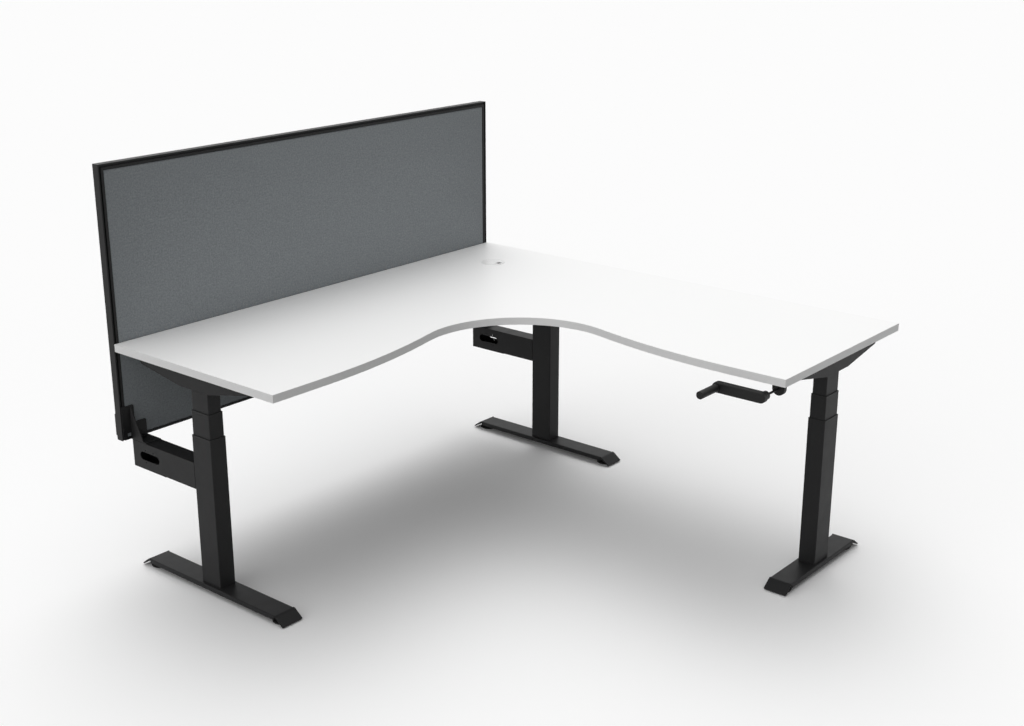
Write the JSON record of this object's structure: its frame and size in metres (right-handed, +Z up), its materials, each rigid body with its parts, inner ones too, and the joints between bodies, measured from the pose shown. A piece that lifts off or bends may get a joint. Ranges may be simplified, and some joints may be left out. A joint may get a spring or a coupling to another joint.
{
  "type": "height-adjustable corner workstation",
  "caption": "L-shaped white worktop on telescopic T-foot columns that a hand crank raises, with a grey fabric screen on arms behind it.",
  "frame": {"origin": "on the floor, in the middle of the whole outline seen from above", "axes": "+Z up, +Y towards the screen's back, +X along the screen towards the return wing's side"},
  "size_m": [1.8, 1.835, 1.34],
  "materials": {
    "board_white": "satin white melamine",
    "band_white": "satin white edge band",
    "cap_white": "moulded white plastic",
    "coat_black": "fine-grained black powder coat",
    "frame_black": "black powder coat",
    "plastic_black": "moulded black plastic",
    "cloth_grey": "woven blue-grey cloth",
    "board_core": "raw fibreboard",
    "steel_plain": "plain steel",
    "steel_black": "blackened steel",
    "cast_grey": "plain castings"
  },
  "bodies": {
    "base": {"foot_left": "coat_black", "outer_tube_left": "coat_black", "foot_corner": "coat_black", "outer_tube_corner": "coat_black", "foot_return": "coat_black", "outer_tube_return": "coat_black", "outer_collars": "plastic_black", "foot_bolts": "steel_plain", "fixed_screws": "steel_plain", "arm_left": "coat_black", "arm_corner": "coat_black", "screen_bracket_left": "coat_black", "screen_bracket_corner": "coat_black", "screen_backplates": "coat_black", "screen_screws": "steel_black", "screen_post_left": "frame_black", "screen_post_right": "frame_black", "screen_rail_top": "frame_black", "screen_rail_bottom": "frame_black", "screen_board": "board_core", "screen_fabric_front": "cloth_grey", "screen_fabric_back": "cloth_grey"},
    "middle_left": {"middle_tube_left": "coat_black", "middle_collar_left": "plastic_black"},
    "spindle_left": {"spindle_left": "steel_plain"},
    "drive_rod_left": {"drive_rod_left": "steel_plain"},
    "glide_left_rear": {"glide_left_rear": "plastic_black"},
    "glide_left_front": {"glide_left_front": "plastic_black"},
    "middle_corner": {"middle_tube_corner": "coat_black", "middle_collar_corner": "plastic_black"},
    "spindle_corner": {"spindle_corner": "steel_plain"},
    "drive_rod_corner": {"drive_rod_corner": "steel_plain"},
    "glide_corner_rear": {"glide_corner_rear": "plastic_black"},
    "glide_corner_front": {"glide_corner_front": "plastic_black"},
    "middle_return": {"middle_tube_return": "coat_black", "middle_collar_return": "plastic_black"},
    "spindle_return": {"spindle_return": "steel_plain"},
    "drive_rod_return": {"drive_rod_return": "steel_plain"},
    "glide_return_rear": {"glide_return_rear": "plastic_black"},
    "glide_return_front": {"glide_return_front": "plastic_black"},
    "top": {"worktop": "board_white", "edge_band": "band_white", "outlet_sleeve": "cap_white", "beam_cross": "coat_black", "beam_return": "coat_black", "gearboxes": "cast_grey", "frame_screws": "steel_plain", "crank_bearing": "plastic_black", "bracket_left": "coat_black", "inner_tube_left": "coat_black", "bracket_corner": "coat_black", "inner_tube_corner": "coat_black", "bracket_return": "coat_black", "inner_tube_return": "coat_black"},
    "cross_shaft": {"cross_shaft": "steel_plain"},
    "return_shaft": {"return_shaft": "steel_plain"},
    "crank": {"crank_shaft": "steel_black", "crank_arm": "plastic_black"},
    "grip": {"crank_grip": "plastic_black"},
    "outlet_cap": {"outlet_cap": "cap_white"}
  },
  "joints": [
    {"name": "crank_turn", "type": "hinge", "parent": "top", "child": "crank", "pos_m": [0.2, -0.8535, 0.707], "axis": [1, 0, 0], "range_deg": [-4468, 20513]},
    {"name": "desk_lift", "type": "slide", "parent": "base", "child": "top", "axis": [0, 0, 1], "range_m": [-0.1, 0.46]},
    {"name": "middle_left_lift", "type": "slide", "parent": "base", "child": "middle_left", "axis": [0, 0, 1], "range_m": [-0.0505, 0.2305]},
    {"name": "middle_corner_lift", "type": "slide", "parent": "base", "child": "middle_corner", "axis": [0, 0, 1], "range_m": [-0.0505, 0.2305]},
    {"name": "middle_return_lift", "type": "slide", "parent": "base", "child": "middle_return", "axis": [0, 0, 1], "range_m": [-0.0505, 0.2305]},
    {"name": "cross_shaft_turn", "type": "hinge", "parent": "top", "child": "cross_shaft", "pos_m": [0, 0.5205, 0.707], "axis": [1, 0, 0], "range_deg": [-4468, 20513]},
    {"name": "return_shaft_turn", "type": "hinge", "parent": "top", "child": "return_shaft", "pos_m": [0.532, -0.1175, 0.707], "axis": [0, 1, 0], "range_deg": [-20513, 4468]},
    {"name": "drive_rod_left_turn", "type": "hinge", "parent": "top", "child": "drive_rod_left", "pos_m": [-0.836, 0.5205, 0.707], "axis": [0, 0, 1], "range_deg": [-2582, 11839]},
    {"name": "spindle_left_turn", "type": "hinge", "parent": "middle_left", "child": "spindle_left", "pos_m": [-0.836, 0.5205, 0.3], "axis": [0, 0, 1], "range_deg": [-2582, 11839]},
    {"name": "drive_rod_corner_turn", "type": "hinge", "parent": "top", "child": "drive_rod_corner", "pos_m": [0.836, 0.5205, 0.707], "axis": [0, 0, 1], "range_deg": [-11839, 2582]},
    {"name": "spindle_corner_turn", "type": "hinge", "parent": "middle_corner", "child": "spindle_corner", "pos_m": [0.836, 0.5205, 0.3], "axis": [0, 0, 1], "range_deg": [-11839, 2582]},
    {"name": "drive_rod_return_turn", "type": "hinge", "parent": "top", "child": "drive_rod_return", "pos_m": [0.532, -0.8535, 0.707], "axis": [0, 0, 1], "range_deg": [-11839, 2582]},
    {"name": "spindle_return_turn", "type": "hinge", "parent": "middle_return", "child": "spindle_return", "pos_m": [0.532, -0.8535, 0.3], "axis": [0, 0, 1], "range_deg": [-11839, 2582]},
    {"name": "grip_spin", "type": "hinge", "parent": "crank", "child": "grip", "pos_m": [0.07, -0.7035, 0.707], "axis": [1, 0, 0], "continuous": true},
    {"name": "outlet_cap_turn", "type": "hinge", "parent": "top", "child": "outlet_cap", "pos_m": [0.665, 0.6475, 0.77], "axis": [0, 0, 1], "continuous": true},
    {"name": "glide_left_rear_level", "type": "slide", "parent": "base", "child": "glide_left_rear", "axis": [0, 0, 1], "range_m": [-0.008, 0]},
    {"name": "glide_left_front_level", "type": "slide", "parent": "base", "child": "glide_left_front", "axis": [0, 0, 1], "range_m": [-0.008, 0]},
    {"name": "glide_corner_rear_level", "type": "slide", "parent": "base", "child": "glide_corner_rear", "axis": [0, 0, 1], "range_m": [-0.008, 0]},
    {"name": "glide_corner_front_level", "type": "slide", "parent": "base", "child": "glide_corner_front", "axis": [0, 0, 1], "range_m": [-0.008, 0]},
    {"name": "glide_return_rear_level", "type": "slide", "parent": "base", "child": "glide_return_rear", "axis": [0, 0, 1], "range_m": [-0.008, 0]},
    {"name": "glide_return_front_level", "type": "slide", "parent": "base", "child": "glide_return_front", "axis": [0, 0, 1], "range_m": [-0.008, 0]}
  ],
  "couplings": [
    {"joint": "crank_turn", "follows": "desk_lift", "rad_per_m": 777.92},
    {"joint": "middle_left_lift", "follows": "desk_lift", "ratio": 0.5},
    {"joint": "middle_corner_lift", "follows": "desk_lift", "ratio": 0.5},
    {"joint": "middle_return_lift", "follows": "desk_lift", "ratio": 0.5},
    {"joint": "cross_shaft_turn", "follows": "desk_lift", "rad_per_m": 777.92},
    {"joint": "return_shaft_turn", "follows": "desk_lift", "rad_per_m": -777.92},
    {"joint": "drive_rod_left_turn", "follows": "desk_lift", "rad_per_m": 448.8},
    {"joint": "spindle_left_turn", "follows": "desk_lift", "rad_per_m": 448.8},
    {"joint": "drive_rod_corner_turn", "follows": "desk_lift", "rad_per_m": -448.8},
    {"joint": "spindle_corner_turn", "follows": "desk_lift", "rad_per_m": -448.8},
    {"joint": "drive_rod_return_turn", "follows": "desk_lift", "rad_per_m": -448.8},
    {"joint": "spindle_return_turn", "follows": "desk_lift", "rad_per_m": -448.8}
  ]
}
